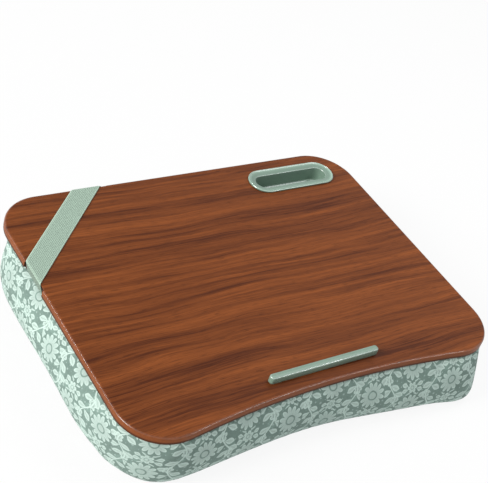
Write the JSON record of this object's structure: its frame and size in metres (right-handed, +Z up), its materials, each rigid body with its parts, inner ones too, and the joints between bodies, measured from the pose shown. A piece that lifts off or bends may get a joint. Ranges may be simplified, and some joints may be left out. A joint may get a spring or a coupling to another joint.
{
  "type": "lap tray with cushion",
  "caption": "Lap desk: a wood-look board with rounded corners on a stuffed fabric cushion, with a device ledge, a phone slot and an elastic strap across one corner.",
  "frame": {"origin": "on the surface that the cushion rests on, under the middle of the board", "axes": "+X along the board's width to the user's right, +Y away from the user to the back edge, +Z up"},
  "size_m": [0.454, 0.348, 0.078],
  "materials": {
    "fibreboard": "raw",
    "walnut": "satin",
    "sage_plastic": "satin",
    "sage_elastic": "ribbed",
    "print_fabric": "printed",
    "lining": "plain",
    "filling": "matte",
    "steel": "zinc plated"
  },
  "bodies": {
    "root": {"board_core": "fibreboard", "walnut_foil": "walnut", "device_ledge": "sage_plastic", "ledge_screws": "steel", "phone_holder": "sage_plastic", "elastic_strap": "sage_elastic", "strap_staples": "steel", "cover_boxing": "print_fabric", "cover_bottom": "print_fabric", "cover_top": "lining", "cushion_fill": "filling", "cover_staples": "steel"}
  },
  "joints": []
}
